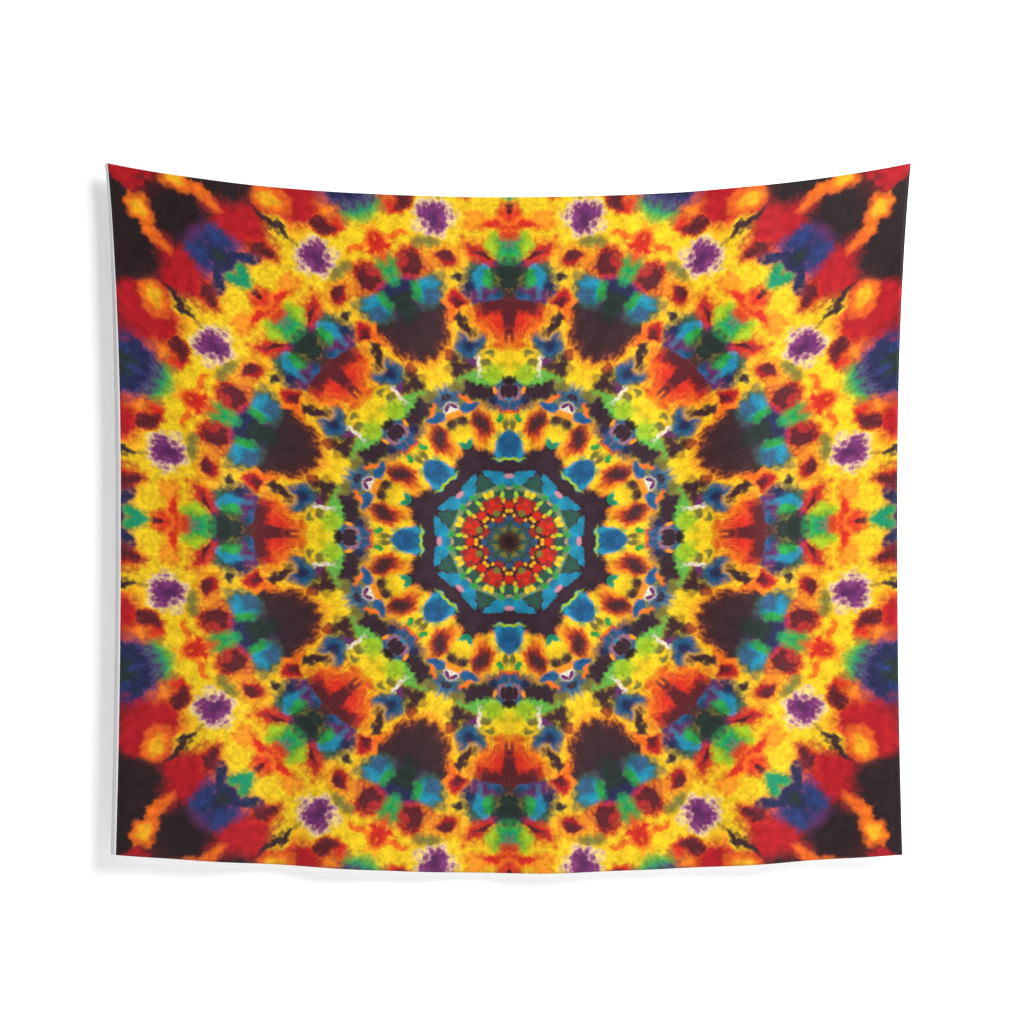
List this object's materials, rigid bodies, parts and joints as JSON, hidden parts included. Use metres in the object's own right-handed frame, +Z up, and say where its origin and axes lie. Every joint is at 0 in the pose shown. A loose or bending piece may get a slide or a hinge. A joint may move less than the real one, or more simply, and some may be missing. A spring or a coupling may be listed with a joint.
{
  "type": "tapestry wall hanging",
  "caption": "Printed cloth wall hanging with turned and stitched hems, which hangs from wall nails by tape loops behind its top corners.",
  "frame": {"origin": "midway between the two nail seats, at the inside top of the hanging loops", "axes": "+X along the width, to the right of someone who faces the print; +Y to the wall; +Z up; the print faces -Y"},
  "size_m": [2.0152, 0.0294, 1.7752],
  "materials": {
    "printed_cloth": "matt printed polyester",
    "white_cloth": "matt white polyester",
    "sewing_thread": "white polyester thread",
    "loop_tape": "white twill tape",
    "label_tape": "white satin label tape"
  },
  "bodies": {
    "cloth": {"printed_panel": "printed_cloth", "hem_top": "white_cloth", "hem_bottom": "white_cloth", "hem_left": "white_cloth", "hem_right": "white_cloth", "needle_thread_top": "sewing_thread", "needle_thread_bottom": "sewing_thread", "needle_thread_left": "sewing_thread", "needle_thread_right": "sewing_thread", "bobbin_thread_top": "sewing_thread", "bobbin_thread_bottom": "sewing_thread", "bobbin_thread_left": "sewing_thread", "bobbin_thread_right": "sewing_thread", "loop_tack_left": "sewing_thread", "loop_tack_right": "sewing_thread"},
    "loop_left": {"hanging_loop_left": "loop_tape"},
    "loop_right": {"hanging_loop_right": "loop_tape"},
    "label": {"care_label": "label_tape"}
  },
  "joints": [
    {"name": "loop_left_swing", "type": "hinge", "parent": "cloth", "child": "loop_left", "pos_m": [-0.95926, -0.00292, -0.01842], "axis": [-0.9827, 0, 0.1851], "range_deg": [0, 150]},
    {"name": "loop_right_swing", "type": "hinge", "parent": "cloth", "child": "loop_right", "pos_m": [0.95926, -0.0029, -0.01842], "axis": [-0.9827, 0, -0.1851], "range_deg": [0, 150]},
    {"name": "label_flip", "type": "hinge", "parent": "cloth", "child": "label", "pos_m": [-0.9675, -0.01217, -1.5234], "axis": [0, 0, 1], "range_deg": [0, 120]}
  ]
}
